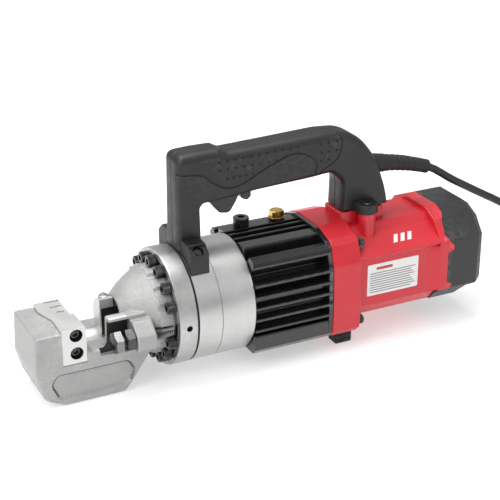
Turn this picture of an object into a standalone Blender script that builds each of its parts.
"""Portable electro-hydraulic rebar cutter, modelled as an assembly of separate parts.

Lengths in this file are millimetres, measured from the datum: x from the front face of the round
flange towards the motor, y from the middle plane (the cutting side is -y), z from the cylinder's
axis. place() turns them into the model's own frame in metres, with its origin on the floor under
the middle of the machine.
"""

import math

import bmesh
import bpy
from mathutils import Matrix, Vector

MM = 0.001
GAP = 0.3  # clearance between touching parts

# Where the datum lies in the model's frame.
AXIS_HEIGHT = 56.0
FLANGE_X = -91.5

# Cutting head.
HEAD_HALF_WIDTH = 29.5
HEAD_TOP = 8.0
SEAT_FRONT, SEAT_BACK, SEAT_FLOOR = -92.4, -71.6, -20.7
BLOCK_TOP, BLOCK_FLARE = 10.2, 5.2
THROAT_FLOOR = -13.2
NECK_X = -12.0
WALL_INNER_Y, WALL_TOP, WALL_END_X = -20.0, 12.0, -53.0
BOSS_FRONT_X, BOSS_BACK_X = -35.0, -14.0
FLANGE_THICKNESS = 12.0
FLANGE_RADIUS = 45.4

# Ram and hydraulic cylinder.
RAM_RADIUS = 16.5
RAM_NOSE_X = -50.0
CUTTER_THICKNESS = 12.0
SHEAR_PLANE_Y = -1.0
PISTON_X, PISTON_LENGTH, PISTON_RADIUS = 50.0, 14.0, 33.4
BORE_RADIUS = 34.0
BARREL_RADIUS = 49.8
BARREL_END_X = 68.6
BARREL_FLOOR_X = 64.6
RING_RADIUS, RING_LENGTH = 50.0, 16.4

# Stop bolt, an M10 with a 17 mm hexagon.
STOP_Y, STOP_Z = -37.0, -5.5
STOP_HEAD_X, STOP_HEAD_LENGTH = -52.6, 6.6
STOP_TAIL_X = -2.0
STOP_NUT_X, STOP_NUT_LENGTH = -43.2, 7.6
HEX_RADIUS = 9.8
M10_RADIUS = 5.0

# Flange screws, M6 socket heads, on a circle of 16 places. The two level with the axis have none.
FLANGE_PLACES = 16
EMPTY_PLACES = (4, 12)
SCREW_CIRCLE = 41.8
SCREW_SEAT_X = -0.45
M6_RADIUS, M6_HEAD_RADIUS, M6_HEAD_LENGTH = 3.0, 5.0, 6.4

# Pump and its drive.
PUMP_FRONT_X, PUMP_BACK_X = 69.0, 142.4
PUMP_CORE_RADIUS = 40.3
PUMP_BOTTOM = -42.0
CAVITY_X, CAVITY_RADIUS = 84.0, 32.0
BLOCK_BACK_X = 126.0
ECCENTRIC_Z = -14.5
ECCENTRIC_RADIUS, ECCENTRIC_OFFSET = 10.0, 2.5
ECCENTRIC_CHAMBER = 13.6
PLUNGER_X, PLUNGER_RADIUS = 112.0, 5.0
GEAR_TEETH, PINION_TEETH, GEAR_MODULE = 32, 10, 1.0
GEAR_X, GEAR_WIDTH = 149.0, 9.0

# Motor.
MOTOR_Z = 6.5
COLLAR_FRONT_X, COLLAR_BACK_X = 142.8, 169.8
COLLAR_WALL_X = 162.0
MOTOR_CAVITY_RADIUS = 35.2
BAND_X = 250.0
COVER_BACK_X, COVER_CHAMFER = 298.0, 8.0
PLINTH_TOP = 57.7

# Handle.
HANDLE_HALF_WIDTH = 14.6
HANDLE_WALL = 3.2
LUG_X, LUG_Y, LUG_BOSS_RADIUS = 188.0, 22.0, 7.6

# Power cord.
CORD_RADIUS = 3.5
COIL_X, COIL_Y, COIL_RADIUS = 478.0, -25.0, 42.0
COIL_LAYERS, COIL_TURNS_ACROSS = 2, 3
CORD_ROUTE = [
    (262.2, 0, 80.0), (268, 0, 77.3), (279, 0, 70.2), (291, 0, 62.3), (318, 0, 46.6), (345.5, 0, 31.0),
    (362, 0.8, 19.5), (378, 2.5, 4.5), (393, 5, -14.5), (408, 8.8, -32), (424, 13.8, -45),
    (440, 20.2, -51.4), (454.8, 27.0, -52.4),
]

# Paints and metals: colour, roughness, metallic.
CAST = ((0.42, 0.42, 0.42), 0.55, 0.6)
STEEL = ((0.62, 0.62, 0.62), 0.3, 1.0)
SATIN = ((0.72, 0.72, 0.73), 0.38, 1.0)
BLACK_OXIDE = ((0.02, 0.02, 0.02), 0.35, 0.8)
BLACK_PAINT = ((0.025, 0.025, 0.026), 0.25, 0.1)
BRASS = ((0.75, 0.52, 0.16), 0.25, 1.0)
RED = ((0.62, 0.025, 0.045), 0.35, 0.0)
CHARCOAL = ((0.05, 0.05, 0.055), 0.5, 0.0)
RUBBER = ((0.015, 0.015, 0.015), 0.7, 0.0)
CORD = ((0.03, 0.03, 0.03), 0.6, 0.0)
COPPER = ((0.7, 0.3, 0.15), 0.35, 1.0)
LAMINATION = ((0.3, 0.3, 0.32), 0.5, 0.9)


# ---------------------------------------------------------------- modelling tools


def place(x, y, z):
    return Vector(((x + FLANGE_X) * MM, y * MM, (z + AXIS_HEIGHT) * MM))


def clear_scene():
    for item in list(bpy.data.objects):
        bpy.data.objects.remove(item, do_unlink=True)


def new_collection(name):
    collection = bpy.data.collections.new(name)
    bpy.context.scene.collection.children.link(collection)
    return collection


def linked(name, data):
    item = bpy.data.objects.new(name, data)
    PARTS.objects.link(item)
    return item


def as_mesh(guide):
    """Turns a curve or a modified object into one welded mesh with its faces out."""
    bpy.context.view_layer.update()
    graph = bpy.context.evaluated_depsgraph_get()
    mesh = bpy.data.meshes.new_from_object(guide.evaluated_get(graph))
    mesh.transform(guide.matrix_world)
    name = guide.name
    bpy.data.objects.remove(guide, do_unlink=True)
    shape = bmesh.new()
    shape.from_mesh(mesh)
    bmesh.ops.remove_doubles(shape, verts=shape.verts, dist=0.00001)
    bmesh.ops.recalc_face_normals(shape, faces=shape.faces)
    shape.to_mesh(mesh)
    shape.free()
    mesh.name = name
    return linked(name, mesh)


# Columns are where an outline's u, v and thickness directions point.
FACING = {
    "x": Matrix(((0, 0, 1), (1, 0, 0), (0, 1, 0))).to_4x4(),
    "y": Matrix(((1, 0, 0), (0, 0, -1), (0, 1, 0))).to_4x4(),
    "z": Matrix.Identity(4),
}


def extruded(name, outline, low, high, axis, rim=0.0):
    """A flat outline pushed from low to high along an axis, with its rims rounded by rim."""
    curve = bpy.data.curves.new(name, "CURVE")
    curve.dimensions = "2D"
    curve.fill_mode = "BOTH"
    curve.extrude = ((high - low) / 2 - rim) * MM
    curve.bevel_depth = rim * MM
    curve.bevel_resolution = 0
    curve.offset = -rim * MM
    spline = curve.splines.new("POLY")
    spline.points.add(len(outline) - 1)
    for point, (u, v) in zip(spline.points, outline):
        point.co = (u * MM, v * MM, 0, 1)
    spline.use_cyclic_u = True
    guide = linked(name, curve)
    middle = (high + low) / 2
    shift = {"x": (middle, 0, 0), "y": (0, middle, 0), "z": (0, 0, middle)}[axis]
    guide.matrix_world = Matrix.Translation(place(*shift)) @ FACING[axis]
    return as_mesh(guide)


def turned(name, profile, axis="x", centre=(0, 0, 0), steps=48, closed=False):
    """A turned shape: the profile is (distance along the axis, radius) pairs."""
    mesh = bpy.data.meshes.new(name)
    points = [(radius * MM, 0, along * MM) for along, radius in profile]
    edges = [(i, i + 1) for i in range(len(points) - 1)]
    if closed:
        edges.append((len(points) - 1, 0))
    mesh.from_pydata(points, edges, [])
    guide = linked(name, mesh)
    screw = guide.modifiers.new("Turn", "SCREW")
    screw.steps = steps
    screw.render_steps = steps
    screw.use_merge_vertices = True
    screw.merge_threshold = 0.00001
    turn = {"x": Matrix.Rotation(math.pi / 2, 4, "Y"), "z": Matrix.Identity(4)}[axis]
    guide.matrix_world = Matrix.Translation(place(*centre)) @ turn
    return as_mesh(guide)


def rod(name, start, end, radius, sides=16, roll=0.0):
    """A round or many-sided bar between two points."""
    start, end = place(*start), place(*end)
    mesh = bpy.data.meshes.new(name)
    shape = bmesh.new()
    bmesh.ops.create_cone(
        shape, cap_ends=True, segments=sides, radius1=radius * MM, radius2=radius * MM,
        depth=(end - start).length,
    )
    turn = (end - start).to_track_quat("Z", "Y").to_matrix().to_4x4()
    spin = Matrix.Rotation(roll, 4, "Z")
    bmesh.ops.transform(shape, matrix=Matrix.Translation((start + end) / 2) @ turn @ spin, verts=shape.verts)
    shape.to_mesh(mesh)
    shape.free()
    return linked(name, mesh)


def box(name, low, high, bevel=0.0):
    """A block between two corners, with its edges rounded by bevel."""
    low, high = place(*low), place(*high)
    mesh = bpy.data.meshes.new(name)
    shape = bmesh.new()
    bmesh.ops.create_cube(shape, size=1.0)
    size = high - low
    grow = Matrix.Diagonal((*size, 1.0))
    bmesh.ops.transform(shape, matrix=Matrix.Translation((low + high) / 2) @ grow, verts=shape.verts)
    shape.to_mesh(mesh)
    shape.free()
    block = linked(name, mesh)
    if bevel:
        rounding = block.modifiers.new("Round", "BEVEL")
        rounding.width = bevel * MM
        rounding.segments = 1
    return block


def tube(name, points, radii, smoothness=2):
    """A round tube through points; radii is one radius, or one for each point."""
    curve = bpy.data.curves.new(name, "CURVE")
    curve.dimensions = "3D"
    curve.bevel_depth = MM
    curve.bevel_resolution = smoothness
    curve.use_fill_caps = True
    spline = curve.splines.new("POLY")
    spline.points.add(len(points) - 1)
    if not isinstance(radii, (list, tuple)):
        radii = [radii] * len(points)
    for point, where, radius in zip(spline.points, points, radii):
        point.co = (*place(*where), 1)
        point.radius = radius
    return as_mesh(linked(name, curve))


def lofted(name, loops):
    """A solid through loops of the same number of points, given as datum positions."""
    mesh = bpy.data.meshes.new(name)
    shape = bmesh.new()
    rings = [[shape.verts.new(place(*p)) for p in loop] for loop in loops]
    count = len(rings[0])
    for a, b in zip(rings, rings[1:]):
        for i in range(count):
            j = (i + 1) % count
            shape.faces.new((a[i], a[j], b[j], b[i]))
    shape.faces.new(rings[0])
    shape.faces.new(rings[-1])
    bmesh.ops.recalc_face_normals(shape, faces=shape.faces)
    if shape.calc_volume(signed=True) < 0:
        bmesh.ops.reverse_faces(shape, faces=shape.faces)
    shape.to_mesh(mesh)
    shape.free()
    return linked(name, mesh)


def rounded(corners, steps=3):
    """An outline whose corners (u, v, radius) are replaced by arcs of that radius."""
    outline = []
    count = len(corners)
    for i, (u, v, *rest) in enumerate(corners):
        radius = rest[0] if rest else 0.0
        here = Vector((u, v))
        if radius <= 0:
            outline.append((u, v))
            continue
        back = (Vector(corners[i - 1][:2]) - here).normalized()
        ahead = (Vector(corners[(i + 1) % count][:2]) - here).normalized()
        half = back.angle(ahead) / 2
        reach = radius / math.tan(half)
        centre = here + (back + ahead).normalized() * (radius / math.sin(half))
        first = here + back * reach - centre
        last = here + ahead * reach - centre
        sweep = first.angle_signed(last)
        for k in range(steps + 1):
            turn = -sweep * k / steps
            outline.append(tuple(centre + Matrix.Rotation(turn, 2) @ first))
    return outline


def inset(outline, distance):
    """The outline moved inwards by a distance, for outlines that run clockwise or not."""
    points = [Vector(p) for p in outline]
    area = sum(a.cross(b) for a, b in zip(points, points[1:] + points[:1]))
    side = 1 if area > 0 else -1
    moved = []
    for i, here in enumerate(points):
        before = (here - points[i - 1]).normalized()
        after = (points[(i + 1) % len(points)] - here).normalized()
        normal_a = Vector((-before.y, before.x)) * side
        normal_b = Vector((-after.y, after.x)) * side
        middle = (normal_a + normal_b).normalized()
        moved.append(tuple(here + middle * distance / max(0.4, middle.dot(normal_a))))
    return moved


def mirrored(half):
    """A whole outline from its +y half, listed from the top middle to the bottom middle."""
    half = [(y, z) for y, z in half if y > 1e-6]
    return half + [(-y, z) for y, z in reversed(half)]


def combine(target, tools, operation):
    for tool in tools:
        step = target.modifiers.new(operation.title(), "BOOLEAN")
        step.operation = operation
        step.solver = "EXACT"
        step.object = tool
        for collection in list(tool.users_collection):
            collection.objects.unlink(tool)
        CUTTERS.objects.link(tool)
        tool.hide_render = True
        tool.display_type = "WIRE"
    return target


def cut(target, *tools):
    return combine(target, tools, "DIFFERENCE")


def add(target, *tools):
    return combine(target, tools, "UNION")


def finished(part, paint, origin=None, angle=35):
    """Gives a part its material, smooth shading and, for a moving one, its origin."""
    colour, roughness, metallic = paint
    material = bpy.data.materials.new(part.name)
    material.use_nodes = True
    shader = material.node_tree.nodes["Principled BSDF"]
    shader.inputs["Base Color"].default_value = (*colour, 1)
    shader.inputs["Roughness"].default_value = roughness
    shader.inputs["Metallic"].default_value = metallic
    part.data.materials.clear()
    part.data.materials.append(material)
    part.data.shade_smooth()
    part.data.set_sharp_from_angle(angle=math.radians(angle))
    if origin:
        point = place(*origin)
        part.data.transform(Matrix.Translation(-point))
        part.location = point
    return part


def around(count, radius, first=0.0):
    """Evenly spaced (y, z) places on a circle about the cylinder axis."""
    for i in range(count):
        turn = first + 2 * math.pi * i / count
        yield radius * math.cos(turn), radius * math.sin(turn)


def arc(radius, start, end, steps, centre=(0, 0)):
    """Points on an arc from start to end, in degrees."""
    for k in range(steps + 1):
        turn = math.radians(start + (end - start) * k / steps)
        yield centre[0] + radius * math.cos(turn), centre[1] + radius * math.sin(turn)


def socket_screw(name, tip, head_seat, radius, head_radius, head_length, sides=12):
    """A socket-head cap screw from its tip to the seat of its head."""
    tip, seat = Vector(tip), Vector(head_seat)
    way = (seat - tip).normalized()
    top = seat + way * head_length
    screw = rod(name, tip, seat + way * 0.5, radius, 8)
    head = rod(name + "_head", seat, top, head_radius, sides)
    socket = rod(name + "_socket", seat + way * head_length * 0.45, top + way, head_radius * 0.56, 6)
    add(screw, head)
    cut(screw, socket)
    return finished(screw, BLACK_OXIDE)


# ---------------------------------------------------------------- cutting head


def head_outline():
    return rounded([
        (-113.2, HEAD_TOP, 2.5), (SEAT_BACK - 1, HEAD_TOP), (SEAT_BACK - 1, -9.0), (-66.5, THROAT_FLOOR, 3),
        (NECK_X, THROAT_FLOOR), (NECK_X, -17.0), (-33.5, -47.0, 6), (-40.5, -56.0, 5),
        (-92.0, -56.0, 10), (-109.0, -48.0, 9), (-115.0, -25.0, 12),
    ])


def head_neck():
    profile = [(-38, 0), (-38, 18.0), (-35.6, 20.2), (-30.2, 25.1), (-24.0, 29.4), (-17.0, 33.6)]
    profile += [(-9.0, 36.8), (0, 38.2), (0, FLANGE_RADIUS)]
    profile += [(FLANGE_THICKNESS, FLANGE_RADIUS), (FLANGE_THICKNESS, 0)]
    return turned("head_neck", profile, steps=40)


def head_guide_wall():
    return extruded("head_guide_wall", rounded([
        (WALL_END_X, WALL_TOP, 1.5), (NECK_X, WALL_TOP), (NECK_X, -17), (-58.5, -17),
        (WALL_END_X - 0.6, -8.5, 4),
    ]), -HEAD_HALF_WIDTH, WALL_INNER_Y, "y", rim=1.0)


def head_boss():
    outline = rounded([
        (-24, 8), (-35.5, 8, 4), (-47.5, -1.5, 5), (-47.5, -13, 5), (-42, -20.5, 4), (-24, -20.5),
    ])
    return extruded("head_boss", outline, BOSS_FRONT_X, BOSS_BACK_X, "x", rim=1.0)


def side_pocket(side):
    outline = rounded([(-97.5, -27.3, 6), (-37.0, -27.3, 6), (-31.5, -36.5, 5), (-35.5, -47.0, 5),
                       (-43.0, -50.0, 5), (-96.5, -50.0, 6), (-103.5, -35.0, 7)])
    outer = side * (HEAD_HALF_WIDTH + 2)
    inner = side * (HEAD_HALF_WIDTH - 1.6)
    return extruded("side_pocket", outline, min(outer, inner), max(outer, inner), "y")


def flange_screw_places():
    places = around(FLANGE_PLACES, SCREW_CIRCLE, math.pi / 2)
    return [place for i, place in enumerate(places) if i not in EMPTY_PLACES]


def flange_holes(name, low, high, radius, sides=8):
    """One cutter with a bar for every flange screw."""
    shape = bmesh.new()
    # A small roll keeps the bars' corners off the edges of the turned shapes they cut.
    bar_turn = Matrix.Rotation(math.pi / 2, 4, "Y") @ Matrix.Rotation(0.15, 4, "Z")
    for y, z in flange_screw_places():
        bmesh.ops.create_cone(
            shape, cap_ends=True, segments=sides, radius1=radius * MM, radius2=radius * MM,
            depth=(high - low) * MM, matrix=Matrix.Translation(place((low + high) / 2, y, z)) @ bar_turn,
        )
    mesh = bpy.data.meshes.new(name)
    shape.to_mesh(mesh)
    shape.free()
    return linked(name, mesh)


def make_cutter_head():
    head = extruded("cutter_head", head_outline(), -HEAD_HALF_WIDTH, HEAD_HALF_WIDTH, "y", rim=2.0)
    add(head, head_neck(), head_guide_wall(), head_boss())
    recess = box("bolt_recess", (WALL_END_X - 8, -40, -18.5), (BOSS_FRONT_X, -25.2, 9.6))
    cut(
        head,
        extruded("block_seat", block_outline(0.0, 40.0), SEAT_FLOOR, 30, "z"),
        rod("ram_channel", (-77, 0, 0), (20, 0, 0), RAM_RADIUS + GAP, 36, roll=0.03),
        recess,
        rod("stop_hole", (-60, STOP_Y, STOP_Z), (STOP_TAIL_X + 1, STOP_Y, STOP_Z), M10_RADIUS + GAP, 16),
        side_pocket(-1),
        side_pocket(1),
        flange_holes("flange_hole_cutter", -2, FLANGE_THICKNESS + 2, M6_RADIUS + GAP),
        flange_holes("head_clearance", -16, SCREW_SEAT_X + GAP, M6_HEAD_RADIUS + 2 * GAP, 10),
    )
    finished(head, CAST)


def block_outline(gap, half_width):
    """The fixed cutter block from above: its far half is wider towards the front."""
    front, back = SEAT_FRONT + gap, SEAT_BACK - gap
    return [
        (front, -half_width), (back, -half_width), (back, half_width), (front - BLOCK_FLARE + 1, half_width),
        (front - BLOCK_FLARE, 14.4), (front + 0.6, -5.7),
    ]


def make_fixed_cutter_block():
    outline = block_outline(GAP, 29.3)
    block = extruded("fixed_cutter_block", outline, SEAT_FLOOR + GAP, BLOCK_TOP, "z", rim=0.6)
    relief = box("ram_relief", (-75.2, SHEAR_PLANE_Y - 0.5, -30), (-60, 40, 30))
    cut(block, relief)
    for z in (4.4, -11.2):
        cut(block, rod("screw_hole", (-80.3, -31, z), (-80.3, 4, z), 3.3, 12))
        cut(block, rod("head_hole", (-80.3, -31, z), (-80.3, -22.5, z), 5.3, 18))
    finished(block, CAST)
    for name, z in (("block_screw_upper", 4.4), ("block_screw_lower", -11.2)):
        socket_screw(name, (-80.3, 3, z), (-80.3, -22.9, z), M6_RADIUS, M6_HEAD_RADIUS, 5.6)


def half_disc(radius):
    reach = math.degrees(math.acos(SHEAR_PLANE_Y / radius))
    return list(arc(radius, -reach, reach, 14))


def make_ram():
    seat = RAM_NOSE_X + CUTTER_THICKNESS + GAP
    ram = rod("ram", (seat, 0, 0), (PISTON_X - GAP, 0, 0), RAM_RADIUS, 40)
    spigot = rod("ram_spigot", (PISTON_X - 2, 0, 0), (PISTON_X + PISTON_LENGTH - 1, 0, 0), 10, 24)
    tongue = box("ram_tongue", (seat - 9, 4, -5), (seat + 2, 12, 5))
    add(ram, spigot, tongue)
    flat = box("ram_flat", (seat - 2, -30, -30), (-26, SHEAR_PLANE_Y, 30))
    relief = box("ram_flat_relief", (seat - 2, -30, -30), (-26, SHEAR_PLANE_Y + 3.5, 8.5))
    screw_hole = rod("cutter_screw_hole", (-43, 8, -3.5), (-43, 8, 20), 2.8, 12)
    cut(ram, flat, relief, screw_hole)
    finished(ram, STEEL)

    cutter = extruded("moving_cutter", half_disc(RAM_RADIUS), RAM_NOSE_X, RAM_NOSE_X + CUTTER_THICKNESS, "x")
    cut(
        cutter,
        box("tongue_slot", (seat - 9.3, 3.7, -5.3), (seat + 2, 12.3, 5.3)),
        rod("cutter_screw_hole", (-43, 8, 3), (-43, 8, 20), 2.8, 12),
        rod("cutter_screw_head", (-43, 8, 11.6), (-43, 8, 20), 4.6, 16),
    )
    finished(cutter, STEEL)
    socket_screw("moving_cutter_screw", (-43, 8, -3), (-43, 8, 12), 2.5, 4.2, 4.4)


def make_piston():
    back = PISTON_X + PISTON_LENGTH
    profile = [
        (PISTON_X, 10.3), (PISTON_X, PISTON_RADIUS), (PISTON_X + 4, PISTON_RADIUS),
        (PISTON_X + 4, PISTON_RADIUS - 3), (PISTON_X + 8, PISTON_RADIUS - 3),
        (PISTON_X + 8, PISTON_RADIUS), (back, PISTON_RADIUS), (back, 10.3),
    ]
    finished(turned("piston", profile, steps=32, closed=True), STEEL)


def make_return_spring():
    turns, radius, wire = 4, 24.0, 1.5
    start, end = FLANGE_THICKNESS + wire + GAP, PISTON_X - wire - GAP
    count = turns * 13
    points = []
    for i in range(count + 1):
        turn = 2 * math.pi * turns * i / count
        points.append((start + (end - start) * i / count, radius * math.cos(turn), radius * math.sin(turn)))
    finished(tube("return_spring", points, wire), STEEL)


def make_stop_bolt():
    head_end = STOP_HEAD_X + STOP_HEAD_LENGTH
    bolt = rod("stop_bolt", (head_end - 1, STOP_Y, STOP_Z), (STOP_TAIL_X, STOP_Y, STOP_Z), M10_RADIUS, 16)
    hexagon = rod("stop_head", (STOP_HEAD_X, STOP_Y, STOP_Z), (head_end, STOP_Y, STOP_Z), HEX_RADIUS, 6)
    add(bolt, hexagon)
    finished(bolt, BLACK_OXIDE, origin=(STOP_HEAD_X, STOP_Y, STOP_Z))
    nut_end = STOP_NUT_X + STOP_NUT_LENGTH
    nut_start = (STOP_NUT_X, STOP_Y, STOP_Z)
    nut = rod("stop_lock_nut", nut_start, (nut_end, STOP_Y, STOP_Z), HEX_RADIUS, 6, roll=0.2)
    bore_start, bore_end = (STOP_NUT_X - 2, STOP_Y, STOP_Z), (nut_end + 2, STOP_Y, STOP_Z)
    cut(nut, rod("nut_bore", bore_start, bore_end, M10_RADIUS + GAP, 16))
    finished(nut, BLACK_OXIDE, origin=nut_start)


# ---------------------------------------------------------------- hydraulic cylinder


def make_flange_ring():
    inner = FLANGE_RADIUS + GAP
    profile = [
        (0, inner), (0, RING_RADIUS - 0.8), (0.8, RING_RADIUS), (RING_LENGTH - 0.8, RING_RADIUS),
        (RING_LENGTH, RING_RADIUS - 0.8), (RING_LENGTH, inner),
    ]
    ring = turned("flange_ring", profile, steps=40, closed=True)
    cut(ring, rod("spanner_hole", (8.4, -60, -0.5), (8.4, 60, -0.5), 2.6, 14))
    finished(ring, SATIN)


def make_flange_screws():
    for i, (y, z) in enumerate(flange_screw_places()):
        socket_screw(
            f"flange_screw_{i + 1:02d}", (22, y, z), (SCREW_SEAT_X, y, z),
            M6_RADIUS, M6_HEAD_RADIUS, M6_HEAD_LENGTH,
        )


def make_cylinder_barrel():
    front = FLANGE_THICKNESS + GAP
    inner = FLANGE_RADIUS
    shoulder = RING_LENGTH + GAP
    profile = [
        (BARREL_FLOOR_X, 0), (BARREL_FLOOR_X, BORE_RADIUS), (front, BORE_RADIUS), (front, inner),
        (shoulder, inner),
        (shoulder, BARREL_RADIUS), (37.5, BARREL_RADIUS), (37.85, BARREL_RADIUS - 0.5), (38.2, BARREL_RADIUS),
        (BARREL_END_X - 0.8, BARREL_RADIUS), (BARREL_END_X, BARREL_RADIUS - 0.8), (BARREL_END_X, 0),
    ]
    barrel = turned("cylinder_barrel", profile, steps=40)
    cut(
        barrel,
        flange_holes("barrel_hole_cutter", 8, 24, M6_RADIUS + GAP),
        rod("oil_port", (60, 0, 0), (72, 0, 0), 3, 12),
        *[rod("lug_screw_hole", *lug_screw_line(side, -4.0, 12.0), 2.8, 10) for side in (-1, 1)],
    )
    finished(barrel, SATIN)


# ---------------------------------------------------------------- pump


def fin(outer_y, root_top, root_bottom, tip_z, tip=1.2):
    """A side fin: root heights on the core, and the middle of its outer edge."""
    core = lambda z: math.sqrt(PUMP_CORE_RADIUS**2 - z * z)
    return [
        (core(root_top), root_top), (outer_y, tip_z + tip), (outer_y, tip_z - tip),
        (core(root_bottom), root_bottom),
    ]


def pump_section():
    """The ribbed outline of the pump housing, from its top middle to its bottom middle."""
    half = [(0, PUMP_CORE_RADIUS), (3.3, 40.2), (3.6, 49.2), (6.2, 49.2), (6.6, 39.8), (11.6, 38.6)]
    half += [(12.2, 48.9), (24.6, 48.5), (25.2, 37.0), (29.8, 32.8), (33.6, 43.0), (35.0, 43.9)]
    half += [(38.0, 43.4), (41.4, 40.0), (42.4, 37.0)]
    half += [(41.6, 34.8), (33.8, 28.6)]
    half += fin(46.6, 25.0, 19.6, 21.6)
    half += fin(47.2, 15.0, 9.0, 11.2)
    half += fin(47.4, 4.4, -1.4, 1.2)
    half += fin(47.4, -6.2, -12.0, -9.2)
    half += fin(47.2, -16.2, -21.4, -19.0)
    half += [(32.6, -23.8), (45.2, -24.2), (46.2, -25.2), (46.2, -36.8), (41.0, PUMP_BOTTOM), (0, PUMP_BOTTOM)]
    return mirrored(half)


HOUSING_SCREW_PLACES = [(-37.6, 38.4), (37.6, 38.4), (-40.6, -32.6), (40.6, -32.6)]


def make_pump_housing():
    housing = extruded("pump_housing", pump_section(), PUMP_FRONT_X, PUMP_BACK_X, "x")
    cut(
        housing,
        rod("pump_cavity", (CAVITY_X, 0, 0), (PUMP_BACK_X + 5, 0, 0), CAVITY_RADIUS, 32),
        rod("oil_port", (60, 0, 0), (90, 0, 0), 3, 12),
        rod("filler_hole", (87.5, 18.5, 30), (87.5, 18.5, 60), 5.3, 16),
        rod("valve_hole", (121.5, 18.5, 30), (121.5, 18.5, 60), 4.3, 16),
        *[rod("screw_hole", (128, y, z), (150, y, z), 2.8, 10) for y, z in HOUSING_SCREW_PLACES],
    )
    finished(housing, BLACK_PAINT, angle=50)


def make_plugs():
    seat = 48.9 + GAP
    filler = rod("filler_plug", (87.5, 18.5, 38), (87.5, 18.5, seat + 1), 5.0, 16)
    add(filler, rod("filler_head", (87.5, 18.5, seat), (87.5, 18.5, seat + 8.0), 7.0, 24))
    cut(filler, rod("filler_socket", (87.5, 18.5, seat + 4.0), (87.5, 18.5, seat + 12), 3.4, 6))
    finished(filler, STEEL)
    valve = rod("release_valve_screw", (121.5, 18.5, 38), (121.5, 18.5, seat + 1), 4.0, 16)
    add(
        valve,
        rod("valve_collar", (121.5, 18.5, seat), (121.5, 18.5, seat + 2.6), 7.2, 24),
        rod("valve_hex", (121.5, 18.5, seat + 2.2), (121.5, 18.5, seat + 8.2), 6.6, 6),
    )
    cut(valve, box("valve_slot", (110, 17.6, seat + 6.2), (132, 19.4, seat + 12)))
    finished(valve, BRASS, origin=(121.5, 18.5, seat))


def make_pump_block():
    block = rod("pump_block", (CAVITY_X + GAP, 0, 0), (BLOCK_BACK_X, 0, 0), CAVITY_RADIUS - GAP, 32)
    z = ECCENTRIC_Z
    cut(
        block,
        rod("eccentric_chamber", (98, 0, z), (BLOCK_BACK_X + 5, 0, z), ECCENTRIC_CHAMBER, 28),
        rod("pilot_bore", (88, 0, z), (100, 0, z), 6.4, 20),
        rod("plunger_bore", (PLUNGER_X, 0, z), (PLUNGER_X, 0, 40), PLUNGER_RADIUS + GAP, 20),
        rod("oil_port", (80, 0, 10), (PLUNGER_X, 0, 10), 2, 10),
    )
    finished(block, STEEL)


def make_plunger():
    bottom = ECCENTRIC_Z + ECCENTRIC_RADIUS + ECCENTRIC_OFFSET + GAP
    plunger = rod("plunger", (PLUNGER_X, 0, bottom), (PLUNGER_X, 0, bottom + 24), PLUNGER_RADIUS, 20)
    finished(plunger, STEEL, origin=(PLUNGER_X, 0, bottom))


def gear_outline(teeth, phase):
    """A plain spur gear outline with slim, short teeth, so that a pair turns freely."""
    pitch = GEAR_MODULE * teeth / 2
    root, tip = pitch - 1.15 * GEAR_MODULE, pitch + 0.8 * GEAR_MODULE
    step = 2 * math.pi / teeth
    outline = []
    for i in range(teeth):
        middle = phase + i * step
        for radius, share in ((root, -0.32), (tip, -0.12), (tip, 0.12), (root, 0.32)):
            turn = middle + share * step
            outline.append((radius * math.cos(turn), radius * math.sin(turn)))
    return outline


def gear(name, teeth, phase, low, high, z):
    outline = [(y, z + up) for y, up in gear_outline(teeth, phase)]
    return extruded(name, outline, low, high, "x")


def make_eccentric_shaft():
    z = ECCENTRIC_Z
    shaft = rod("eccentric_shaft", (90, 0, z), (GEAR_X + GEAR_WIDTH + 3, 0, z), 6.0, 24)
    lobe_z = z - ECCENTRIC_OFFSET
    lobe = rod("eccentric_lobe", (106, 0, lobe_z), (118, 0, lobe_z), ECCENTRIC_RADIUS, 32)
    add(shaft, lobe)
    finished(shaft, STEEL, origin=(GEAR_X, 0, z))
    ring = [(120.5, 6.3), (120.5, ECCENTRIC_CHAMBER - GAP), (125.5, ECCENTRIC_CHAMBER - GAP), (125.5, 6.3)]
    bearing = turned("shaft_bearing", ring, centre=(0, 0, z), steps=28, closed=True)
    finished(bearing, STEEL)
    # A tooth of the gear points up at the pinion, whose gap faces down.
    wheel = gear("drive_gear", GEAR_TEETH, math.pi / 2, GEAR_X, GEAR_X + GEAR_WIDTH, z)
    cut(wheel, rod("gear_bore", (GEAR_X - 2, 0, z), (GEAR_X + GEAR_WIDTH + 2, 0, z), 6.3, 24))
    finished(wheel, STEEL, origin=(GEAR_X, 0, z))


# ---------------------------------------------------------------- motor


COLLAR_CORNERS = [
    (19, 51.6, 14), (39.5, 44.6, 9), (46.6, 24, 14), (48.0, -14, 20), (46.8, -36.8, 3), (41.2, -42.5, 3),
]
MOTOR_CORNERS = [
    (19.5, 46, 1.5), (25, 40, 1.5), (45.4, 27.4, 1.5), (45.4, 25.6), (42.4, 22.6, 2), (42.4, -20.5, 1.5),
    (34, -31.5, 2), (14, -34),
]
COVER_CORNERS = [(17.5, 50, 3), (33, 42.8, 4), (46, 26, 5), (46, -19.5, 3), (35.5, -31.5, 3), (14, -34.6)]


def section(corners, shrink=0.0):
    """A rounded outline that is the same on both sides, moved inwards by shrink."""
    whole = corners + [(-y, *rest) for y, *rest in reversed(corners)]
    moved = inset([corner[:2] for corner in whole], shrink)
    radii = [max(corner[2] - shrink / 2, 0.6) if len(corner) > 2 else 0.0 for corner in whole]
    return rounded([(y, z, radius) for (y, z), radius in zip(moved, radii)], steps=2)


# The joint between the red housing and the rear cover, in side view from the top down.
JOINT_LINE = [
    (262, 60), (262, 46), (257.5, 42), (256, 31), (264.5, 20.5), (264.5, 17), (258.5, 14.5), (258.5, -13.5),
    (264.5, -16.5), (262, -19.5), (248, -21), (246, -45),
]


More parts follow.
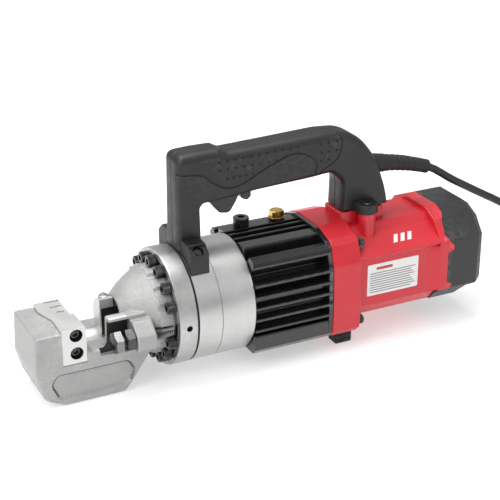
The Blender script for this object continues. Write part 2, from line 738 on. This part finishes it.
def joint_cutter(name, far_x, shift):
    """A block from the joint line to far_x, with the line moved along x by shift."""
    outline = [(x + shift, z) for x, z in JOINT_LINE] + [(far_x, -45), (far_x, 60)]
    return extruded(name, outline, -70, 70, "y")


def lathe_hole(name, low, high, radius, z=MOTOR_Z, sides=36):
    return rod(name, (low, 0, z), (high, 0, z), radius, sides)


def make_motor_housing():
    housing = extruded("motor_housing", section(COLLAR_CORNERS), COLLAR_FRONT_X, COLLAR_BACK_X, "x", rim=0.6)
    body = extruded("motor_body", section(MOTOR_CORNERS), COLLAR_BACK_X - 2, BAND_X + 3, "x")
    band = extruded("motor_band", section(COVER_CORNERS), BAND_X, 268, "x")
    plinth = box("handle_plinth", (166.6, -14.2, 40), (209.2, 14.2, PLINTH_TOP), 1.2)
    add(housing, body, band, plinth)
    cavities = []
    for y in (-LUG_Y, LUG_Y):
        add(housing, rod("lug_boss", (LUG_X, y, 20), (LUG_X, y, PLINTH_TOP), LUG_BOSS_RADIUS, 20))
        cavities.append(rod("lug_hole", (LUG_X, y, 42), (LUG_X, y, 60), 2.3, 10))
    for y, z in HOUSING_SCREW_PLACES:
        cavities.append(rod("screw_hole", (135, y, z), (COLLAR_BACK_X + 2, y, z), 2.8, 10))
        cavities.append(rod("head_seat", (COLLAR_BACK_X, y, z), (COLLAR_BACK_X + 12, y, z), 5, 16))
    cut(
        housing,
        rod("gear_chamber", (COLLAR_FRONT_X - 5, 0, 0), (COLLAR_WALL_X, 0, 0), 36, 36),
        lathe_hole("bearing_seat", COLLAR_WALL_X - 5, COLLAR_BACK_X + 5, 11.3, sides=24),
        lathe_hole("motor_cavity", COLLAR_BACK_X, 275, MOTOR_CAVITY_RADIUS),
        joint_cutter("cover_side", 320, 0.0),
        *cavities,
    )
    finished(housing, RED)
    ring = [(162.6, 4.3), (162.6, 11.0), (169.4, 11.0), (169.4, 4.3)]
    finished(turned("motor_bearing", ring, centre=(0, 0, MOTOR_Z), steps=24, closed=True), STEEL)
    for i, (y, z) in enumerate(HOUSING_SCREW_PLACES):
        socket_screw(f"housing_screw_{i + 1}", (130, y, z), (COLLAR_BACK_X + GAP, y, z), 2.5, 4.4, 5)


def make_rear_cover():
    chamfer_x = COVER_BACK_X - COVER_CHAMFER
    stations = [(240, 0), (chamfer_x, 0), (chamfer_x + 3, 1.0), (COVER_BACK_X - 2, 3.6), (COVER_BACK_X, 5.6)]
    loops = [[(x, y, z) for y, z in section(COVER_CORNERS, shrink)] for x, shrink in stations]
    cover = lofted("rear_cover", loops)
    boss = lathe_hole("bearing_boss", 279, COVER_BACK_X - 2, 12, sides=24)
    heel = extruded("heel", [(268, -60), (272, -33), (281, -21.5), (310, -19.8), (310, -60)], -60, 60, "y")
    cut(
        cover,
        lathe_hole("cover_cavity", 235, 268, 34),
        lathe_hole("cover_cavity", 260, COVER_BACK_X - 4, 23),
        joint_cutter("housing_side", 200, GAP),
        heel,
    )
    add(cover, boss)
    slots = []
    for z in (23.5, 29.5, 35.5):
        slots.append(box("vent", (COVER_BACK_X - 6, -24, z - 1.3), (COVER_BACK_X + 2, 24, z + 1.3)))
    cut(cover, lathe_hole("bearing_bore", 270, COVER_BACK_X - 4.4, 4.4, sides=20), *slots)
    finished(cover, CHARCOAL)


def make_armature():
    shaft = lathe_hole("armature", 146, 290, 4.0, sides=20)
    pinion_phase = math.pi / PINION_TEETH - math.pi / 2
    pinion = gear("pinion", PINION_TEETH, pinion_phase, GEAR_X - 1, GEAR_X + GEAR_WIDTH + 1, MOTOR_Z)
    core = lathe_hole("armature_core", 190, 232, 22.6, sides=28)
    collar = lathe_hole("winding_front", 184, 236, 15, sides=24)
    commutator = lathe_hole("commutator", 242, 258, 11, sides=24)
    add(shaft, pinion, collar, core, commutator)
    finished(shaft, COPPER, origin=(GEAR_X, 0, MOTOR_Z))


def make_cooling_fan():
    fan = turned(
        "cooling_fan", [(174, 4.3), (174, 9), (181.4, 9), (181.4, 30), (183, 30), (183, 4.3)],
        centre=(0, 0, MOTOR_Z), steps=32, closed=True,
    )
    blades = 8
    for i in range(blades):
        turn = 2 * math.pi * i / blades
        blade = box("fan_blade", (174.5, -0.8, MOTOR_Z + 8), (182, 0.8, MOTOR_Z + 29))
        centre = Matrix.Translation(place(0, 0, MOTOR_Z))
        blade.data.transform(centre @ Matrix.Rotation(turn, 4, "X") @ centre.inverted())
        add(fan, blade)
    finished(fan, CHARCOAL, origin=(GEAR_X, 0, MOTOR_Z))


def make_stator():
    profile = [(188, 23.4), (188, 34.6), (234, 34.6), (234, 23.4)]
    finished(turned("stator", profile, centre=(0, 0, MOTOR_Z), steps=36, closed=True), LAMINATION)


def make_feet():
    for name, side in (("foot_near", -1), ("foot_far", 1)):
        low, high = sorted((side * 21.5, side * 35.0))
        foot = box(name, (152.6, low, -AXIS_HEIGHT), (168.8, high, -42.5 - GAP), 1.2)
        finished(foot, RUBBER)


# ---------------------------------------------------------------- handle


def handle_outline():
    """The handle's outline in side view, front foot, over the grip and down to the rear foot."""
    return rounded([
        (16.2, 51.0), (16.0, 131.6, 7), (36, 132.6, 20), (54, 132.4, 6), (61, 128.6, 8), (100, 129.8, 60),
        (150, 131.6, 60), (172, 130.0, 34), (188, 120.0, 48), (203, 101.0, 58), (211.5, 74.0, 90),
        (214.0, 58.0), (168.5, 58.0), (168.5, 86.0, 10), (158, 94.6, 8), (140, 93.0, 12), (88, 91.4, 20),
        (48, 88.0, 5), (36.7, 88.0, 3), (36.7, 51.0),
    ], steps=3)


def handle_cavity():
    """The hollow between the two handle halves."""
    return rounded([
        (20, 60), (20, 127, 3), (54, 128, 3), (61, 124.6), (172, 126, 8), (199, 102, 8), (207, 72), (208, 64),
        (172, 64), (172, 90, 6), (158, 98, 4), (86, 95.2), (48, 91.6), (33.0, 91.6, 2), (33.0, 60),
    ], steps=2)


def lug_screw_line(side, low, high):
    """A line across the front foot's sloping shoulder: depth from its screw seat, inwards and out."""
    seat = Vector((26.0, side * 27.2, 53.4))
    way = Vector((0, side * math.sin(math.radians(38)), math.cos(math.radians(38))))
    return tuple(seat + way * -high), tuple(seat + way * -low)


def front_saddle(side):
    """The part of the front foot that sits on the barrel."""
    outline = [(0.15, 44), (30, 34), (33.4, 37.0), (33.4, 53.6), (25.8, 60.6), (12, 61.4), (12, 66), (0.15, 66)]
    return extruded("front_saddle", [(side * y, z) for y, z in outline], 17.6, 34.0, "x")


def rear_lug(side):
    outline = list(arc(8.4, -90, 90, 8, centre=(0, 0)))
    points = [(LUG_X - v * 1.15, side * (LUG_Y + u)) for u, v in outline]
    points += [(LUG_X - 11, side * 10), (LUG_X + 11, side * 10)]
    return extruded("rear_lug", points, PLINTH_TOP + GAP, 66.0, "z")


def make_handle_half(name, side):
    outline = handle_outline()
    levels = [(0.15, 0.0), (7.5, 0.0), (10.6, 0.9), (13.2, 3.0), (HANDLE_HALF_WIDTH, 6.2)]
    half = lofted(name, [[(x, side * y, z) for x, z in inset(outline, shrink)] for y, shrink in levels])
    add(half, front_saddle(side), rear_lug(side))
    inner = HANDLE_HALF_WIDTH - HANDLE_WALL
    low, high = sorted((side * -1.0, side * inner))
    barrel_clearance = rod("barrel_clearance", (10, 0, 0), (40, 0, 0), BARREL_RADIUS + GAP, 64)
    cavity = extruded("handle_hollow", handle_cavity(), low, high, "y")
    slot_low, slot_high = sorted((side * -1.0, side * 6.8))
    cut(
        half,
        barrel_clearance,
        cavity,
        box("trigger_slot", (46.0, slot_low, 80), (74.6, slot_high, 97)),
        box("button_slot", (76.2, slot_low, 80), (86.4, slot_high, 97)),
        rod("boot_hole", (196, 0, 94.6), (222, 0, 90.0), 8.6, 20),
        rod("front_screw_head", *lug_screw_line(side, -10.0, 4.0), 5.2, 14),
        rod("front_screw_hole", *lug_screw_line(side, -10.0, 30.0), 3.0, 10),
        rod("rear_screw_hole", (LUG_X, side * LUG_Y, 50), (LUG_X, side * LUG_Y, 75), 2.4, 10),
        rod("rear_screw_head", (LUG_X, side * LUG_Y, 62.6), (LUG_X, side * LUG_Y, 75), 4.6, 14),
    )
    finished(half, CHARCOAL, angle=40)
    number = 1 if side < 0 else 2
    tip, seat = lug_screw_line(side, 4.0 - GAP, 11.0)
    socket_screw(f"handle_front_screw_{number}", tip, seat, 2.5, 4.6, 4.6)
    rear_seat = (LUG_X, side * LUG_Y, 62.9)
    socket_screw(f"handle_rear_screw_{number}", (LUG_X, side * LUG_Y, 44), rear_seat, 2.0, 4.0, 4.0)


def make_trigger():
    outline = rounded([
        (46.5, 99.0, 1), (46.5, 88.5, 2), (58.0, 74.0, 3), (64.5, 73.4, 3.5), (70.5, 81.0, 5),
        (74.2, 88.0, 2), (74.2, 99.0, 1),
    ])
    trigger = extruded("trigger", outline, -6.2, 6.2, "y", rim=1.2)
    finished(trigger, CHARCOAL, origin=(60, 0, 88))
    outline = rounded([(76.8, 98, 1), (76.8, 84.0, 2.5), (82.5, 81.4, 3), (85.8, 84.5, 2), (85.8, 98, 1)])
    button = extruded("lock_button", outline, -5.0, 5.0, "y", rim=1.0)
    finished(button, CHARCOAL, origin=(81, 0, 90))
    switch = box("switch_body", (45, -9.5, 107), (96, 9.5, 123), 1.0)
    finished(switch, BLACK_PAINT)


def make_cable_boot():
    route = [(200, 0, 93.9), (212, 0, 91.6), (227, 0, 89.4), (240, 0, 86.6), (251, 0, 83.5), (261.2, 0, 80.3)]
    boot = tube("cable_boot", route, [8.0, 8.2, 7.9, 7.4, 6.8, 6.1], smoothness=3)
    finished(boot, RUBBER)


# ---------------------------------------------------------------- power cord


def smooth_route(points, spacing):
    """Points every spacing along a smooth curve through the given ones."""
    route = [Vector(p) for p in points]
    ends = [route[0] * 2 - route[1], *route, route[-1] * 2 - route[-2]]
    fine = []
    for a, b, c, d in zip(ends, ends[1:], ends[2:], ends[3:]):
        for k in range(20):
            t = k / 20
            fine.append(0.5 * (2 * b + (c - a) * t + (2 * a - 5 * b + 4 * c - d) * t**2
                               + (3 * b - a - 3 * c + d) * t**3))
    fine.append(route[-1])
    kept, travelled = [fine[0]], 0.0
    for before, after in zip(fine, fine[1:]):
        travelled += (after - before).length
        if travelled >= spacing:
            kept.append(after)
            travelled = 0.0
    if travelled > spacing / 3:
        kept.append(fine[-1])
    else:
        kept[-1] = fine[-1]
    return [tuple(p) for p in kept]


def make_power_cord():
    finished(tube("power_cord", smooth_route(CORD_ROUTE, 12.0), CORD_RADIUS), CORD)
    half_width = COIL_TURNS_ACROSS * CORD_RADIUS
    height = COIL_LAYERS * 2 * CORD_RADIUS
    inner, outer = COIL_RADIUS - half_width, COIL_RADIUS + half_width
    ring = [
        (height, inner + 2), (height, outer - 2), (height - 2, outer), (2, outer), (0, outer - 2),
        (0, inner + 2), (2, inner), (height - 2, inner),
    ]
    coil = turned("cord_coil", ring, axis="z", centre=(COIL_X, COIL_Y, -AXIS_HEIGHT), steps=32, closed=True)
    finished(coil, CORD)


def make_plug():
    y = COIL_Y - (COIL_RADIUS + 4 * CORD_RADIUS + GAP)
    base = CORD_RADIUS - AXIS_HEIGHT
    route = [(COIL_X - 4, y, base + 0.6), (COIL_X - 14, y - 0.6, base + 1.1), (COIL_X - 26, y - 2, base + 3),
             (COIL_X - 38, y - 3, base + 6.4), (COIL_X - 48, y - 3.4, base + 7.8)]
    plug = tube("plug", route, [4.0, 4.4, 5.2, 6.2, 6.8], smoothness=2)
    middle, neck, shoulder, face = y - 3.4, COIL_X - 45, COIL_X - 57, COIL_X - 83
    outline = rounded([
        (neck, middle + 7, 2), (shoulder, middle + 16, 5), (face, middle + 17, 5), (face, middle - 17, 5),
        (shoulder, middle - 16, 5), (neck, middle - 7, 2),
    ])
    body = extruded("plug_body", outline, -AXIS_HEIGHT, -AXIS_HEIGHT + 22, "z", rim=3.0)
    pins = []
    for pin_y in (middle - 9.5, middle + 9.5):
        pins.append(rod("plug_pin", (face + 2, pin_y, base + 7.5), (face - 19, pin_y, base + 7.5), 2.4, 12))
    add(plug, body, *pins)
    finished(plug, RUBBER)


# ---------------------------------------------------------------- the whole machine

clear_scene()
PARTS = new_collection("rebar_cutter")
CUTTERS = new_collection("cutters")

make_cutter_head()
make_fixed_cutter_block()
make_ram()
make_piston()
make_return_spring()
make_stop_bolt()
make_flange_ring()
make_flange_screws()
make_cylinder_barrel()
make_pump_housing()
make_plugs()
make_pump_block()
make_plunger()
make_eccentric_shaft()
make_motor_housing()
make_rear_cover()
make_armature()
make_cooling_fan()
make_stator()
make_feet()
make_handle_half("handle_near_half", -1)
make_handle_half("handle_far_half", 1)
make_trigger()
make_cable_boot()
make_power_cord()
make_plug()
